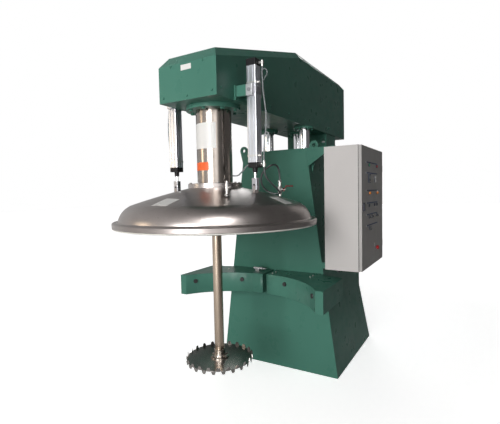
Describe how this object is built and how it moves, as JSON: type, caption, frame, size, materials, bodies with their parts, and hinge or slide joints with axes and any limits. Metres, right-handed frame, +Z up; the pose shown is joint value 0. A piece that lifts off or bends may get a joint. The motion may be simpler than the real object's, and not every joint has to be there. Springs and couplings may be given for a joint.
{
  "type": "dispersion mixer",
  "caption": "Floor-standing dispersion mixer with a lifting bridge, domed vessel lid on air cylinders, long spindle with a toothed disc blade, tank cradle and control cabinet.",
  "frame": {"origin": "on the floor, centre of the column's base and of its anchor bolt pattern", "axes": "+Z up, -Y from the column to the spindle (the operator's side), +X towards the control cabinet"},
  "size_m": [1.677, 3.174, 3.007],
  "materials": {
    "green_paint": "semi-gloss",
    "grey_paint": "semi-gloss",
    "stainless": "brushed",
    "bright_steel": "polished",
    "dark_steel": "machined",
    "aluminium": "satin",
    "motor_paint": "satin",
    "zinc": "zinc plated",
    "belt_rubber": "matt",
    "black_rubber": "matt",
    "dark_hose": "satin",
    "black_metal": "black anodised",
    "seal_white": "matt",
    "clear_hose": "gloss",
    "black_plastic": "matt",
    "green_plastic": "gloss",
    "red_plastic": "gloss",
    "brass": "satin",
    "lever_red": "dipped"
  },
  "bodies": {
    "column": {"column_frame": "green_paint", "rear_cover": "green_paint", "tank_cradle": "green_paint", "tank_pads": "black_rubber", "tank_sensor": "aluminium", "cabinet_brackets": "green_paint", "cabinet_body": "grey_paint", "electrical_panel": "zinc", "cable_glands": "black_plastic", "ram_barrel": "dark_steel", "guide_bushings": "brass", "power_pack": "grey_paint", "column_bolts": "zinc"},
    "bridge": {"bridge_hood": "green_paint", "belly_plate": "green_paint", "belly_flanges": "green_paint", "bridge_fasteners": "green_paint", "quill_tube": "stainless", "spindle_bearings": "dark_steel", "guide_posts": "bright_steel", "ram_rod": "bright_steel", "motor_bracket": "green_paint", "motor_body": "motor_paint", "drive_belts": "belt_rubber", "cylinder_barrels": "aluminium", "cylinder_caps": "black_metal", "trunnion_brackets": "green_paint", "trunnion_blocks": "aluminium", "trunnion_rings": "dark_steel", "air_fittings": "zinc", "air_tubes": "clear_hose", "air_hose": "dark_hose"},
    "lid": {"lid_shell": "stainless", "lid_gasket": "seal_white", "neck_flange": "stainless", "neck_seal": "seal_white", "neck_bolts": "stainless", "cylinder_rods": "bright_steel", "rod_clevises": "dark_steel", "lid_nozzles": "stainless"},
    "lever": {"valve_lever": "lever_red"},
    "spindle": {"spindle_shaft": "stainless", "mixing_blade": "stainless", "blade_hub": "stainless", "hub_bolts": "stainless", "driven_sheave": "dark_steel"},
    "rotor": {"motor_rotor": "dark_steel"},
    "door": {"cabinet_door": "grey_paint", "panel_fittings": "zinc"},
    "latch": {"door_latch": "zinc"},
    "green_button": {"green_button": "green_plastic"},
    "red_button": {"red_button": "red_plastic"},
    "push_button_1": {"push_button_1": "black_plastic"},
    "push_button_2": {"push_button_2": "black_plastic"},
    "push_button_3": {"push_button_3": "black_plastic"},
    "selector_1": {"selector_1": "black_plastic"},
    "selector_2": {"selector_2": "black_plastic"},
    "selector_3": {"selector_3": "black_plastic"},
    "speed_knob": {"speed_knob": "black_plastic"},
    "stop_button": {"stop_button": "red_plastic"}
  },
  "joints": [
    {"name": "bridge_lift", "type": "slide", "parent": "column", "child": "bridge", "axis": [0, 0, 1], "range_m": [0, 0.95]},
    {"name": "lid_slide", "type": "slide", "parent": "bridge", "child": "lid", "axis": [0, 0, 1], "range_m": [-0.36, 0], "deforming": ["air_hose"]},
    {"name": "spindle_spin", "type": "hinge", "parent": "bridge", "child": "spindle", "pos_m": [0, -1.554, 1], "axis": [0, 0, 1], "continuous": true},
    {"name": "motor_spin", "type": "hinge", "parent": "bridge", "child": "rotor", "pos_m": [0, 0.466, 2.4], "axis": [0, 0, 1], "continuous": true},
    {"name": "valve_turn", "type": "hinge", "parent": "lid", "child": "lever", "pos_m": [0.446, -1.304, 1.722], "axis": [1, 0, 0], "range_deg": [0, 90]},
    {"name": "door_swing", "type": "hinge", "parent": "column", "child": "door", "pos_m": [0.896, -0.096, 1.5], "axis": [0, 0, 1], "range_deg": [0, 120]},
    {"name": "latch_turn", "type": "hinge", "parent": "door", "child": "latch", "pos_m": [0.907, -0.82, 1.571], "axis": [1, 0, 0], "range_deg": [0, 90]},
    {"name": "green_button_press", "type": "slide", "parent": "door", "child": "green_button", "axis": [-1, 0, 0], "range_m": [0, 0.004], "stiffness_N_per_m": 600, "springref_m": -0.001},
    {"name": "red_button_press", "type": "slide", "parent": "door", "child": "red_button", "axis": [-1, 0, 0], "range_m": [0, 0.004], "stiffness_N_per_m": 600, "springref_m": -0.001},
    {"name": "push_button_1_press", "type": "slide", "parent": "door", "child": "push_button_1", "axis": [-1, 0, 0], "range_m": [0, 0.004], "stiffness_N_per_m": 600, "springref_m": -0.001},
    {"name": "push_button_2_press", "type": "slide", "parent": "door", "child": "push_button_2", "axis": [-1, 0, 0], "range_m": [0, 0.004], "stiffness_N_per_m": 600, "springref_m": -0.001},
    {"name": "push_button_3_press", "type": "slide", "parent": "door", "child": "push_button_3", "axis": [-1, 0, 0], "range_m": [0, 0.004], "stiffness_N_per_m": 600, "springref_m": -0.001},
    {"name": "selector_1_turn", "type": "hinge", "parent": "door", "child": "selector_1", "pos_m": [0.907, -0.636, 1.481], "axis": [1, 0, 0], "range_deg": [-45, 45]},
    {"name": "selector_2_turn", "type": "hinge", "parent": "door", "child": "selector_2", "pos_m": [0.907, -0.534, 1.481], "axis": [1, 0, 0], "range_deg": [-45, 45]},
    {"name": "selector_3_turn", "type": "hinge", "parent": "door", "child": "selector_3", "pos_m": [0.907, -0.356, 1.481], "axis": [1, 0, 0], "range_deg": [-45, 45]},
    {"name": "speed_knob_turn", "type": "hinge", "parent": "door", "child": "speed_knob", "pos_m": [0.907, -0.636, 1.387], "axis": [1, 0, 0], "range_deg": [-135, 135]},
    {"name": "stop_button_press", "type": "slide", "parent": "door", "child": "stop_button", "axis": [-1, 0, 0], "range_m": [0, 0.004]}
  ],
  "couplings": [
    {"joint": "motor_spin", "follows": "spindle_spin", "ratio": 1.82}
  ]
}
